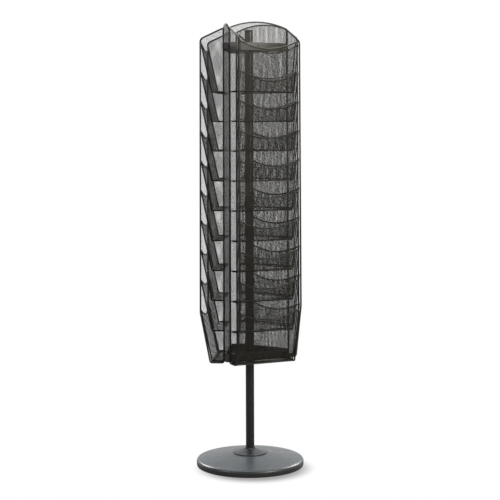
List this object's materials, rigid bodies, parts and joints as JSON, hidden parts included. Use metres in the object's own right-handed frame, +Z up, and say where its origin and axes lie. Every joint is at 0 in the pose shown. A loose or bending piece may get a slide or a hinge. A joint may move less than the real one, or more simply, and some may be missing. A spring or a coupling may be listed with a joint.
{
  "type": "rotary literature display",
  "caption": "Floor-standing rotary literature display: tall mesh racks of sloping letter-size pockets, back to back, turning round a pole on a round weighted base.",
  "frame": {"origin": "on the pole's axis at floor level", "axes": "+Z up along the pole, rack 1 faces -Y, racks 2 and 3 are turned 120 and 240 degrees about +Z"},
  "size_m": [0.4268, 0.404, 1.6758],
  "materials": {
    "base_coat": "satin blue-grey powder coat",
    "ballast": "raw casting",
    "rubber": "matte",
    "zinc": "zinc plated",
    "pole_coat": "semi-gloss black powder coat",
    "black_plastic": "matte moulded nylon",
    "bracket_coat": "satin black powder coat",
    "wire_coat": "satin black powder coat",
    "mesh_coat": "satin black powder coat on expanded metal",
    "pocket_coat": "satin black powder coat on expanded metal",
    "black_screw": "black oxide"
  },
  "bodies": {
    "stand": {"base_cover": "base_coat", "ballast_disc": "ballast", "foot_ring": "rubber", "hub_flange": "base_coat", "centre_bolt": "zinc", "centre_washer": "zinc", "pole_foot_insert": "zinc", "lower_pole": "pole_coat", "upper_pole": "pole_coat", "pole_connector": "zinc", "pole_cap": "black_plastic", "support_collar": "pole_coat", "collar_set_screw": "zinc", "thrust_washer": "black_plastic"},
    "carousel": {"bottom_bracket": "bracket_coat", "top_bracket": "bracket_coat", "bottom_bush": "black_plastic", "top_bush": "black_plastic", "rack_1_frame": "wire_coat", "rack_1_tray": "mesh_coat", "rack_1_pocket_01": "pocket_coat", "rack_1_pocket_02": "pocket_coat", "rack_1_pocket_03": "pocket_coat", "rack_1_pocket_04": "pocket_coat", "rack_1_pocket_05": "pocket_coat", "rack_1_pocket_06": "pocket_coat", "rack_1_pocket_07": "pocket_coat", "rack_1_pocket_08": "pocket_coat", "rack_1_pocket_09": "pocket_coat", "rack_1_pocket_10": "pocket_coat", "rack_1_bottom_screw": "black_screw", "rack_1_top_screw": "black_screw", "rack_2_frame": "wire_coat", "rack_2_tray": "mesh_coat", "rack_2_pocket_01": "pocket_coat", "rack_2_pocket_02": "pocket_coat", "rack_2_pocket_03": "pocket_coat", "rack_2_pocket_04": "pocket_coat", "rack_2_pocket_05": "pocket_coat", "rack_2_pocket_06": "pocket_coat", "rack_2_pocket_07": "pocket_coat", "rack_2_pocket_08": "pocket_coat", "rack_2_pocket_09": "pocket_coat", "rack_2_pocket_10": "pocket_coat", "rack_2_bottom_screw": "black_screw", "rack_2_top_screw": "black_screw", "rack_3_frame": "wire_coat", "rack_3_tray": "mesh_coat", "rack_3_pocket_01": "pocket_coat", "rack_3_pocket_02": "pocket_coat", "rack_3_pocket_03": "pocket_coat", "rack_3_pocket_04": "pocket_coat", "rack_3_pocket_05": "pocket_coat", "rack_3_pocket_06": "pocket_coat", "rack_3_pocket_07": "pocket_coat", "rack_3_pocket_08": "pocket_coat", "rack_3_pocket_09": "pocket_coat", "rack_3_pocket_10": "pocket_coat", "rack_3_bottom_screw": "black_screw", "rack_3_top_screw": "black_screw"}
  },
  "joints": [
    {"name": "carousel_spin", "type": "hinge", "parent": "stand", "child": "carousel", "pos_m": [0, 0, 0.403], "axis": [0, 0, 1], "continuous": true}
  ]
}
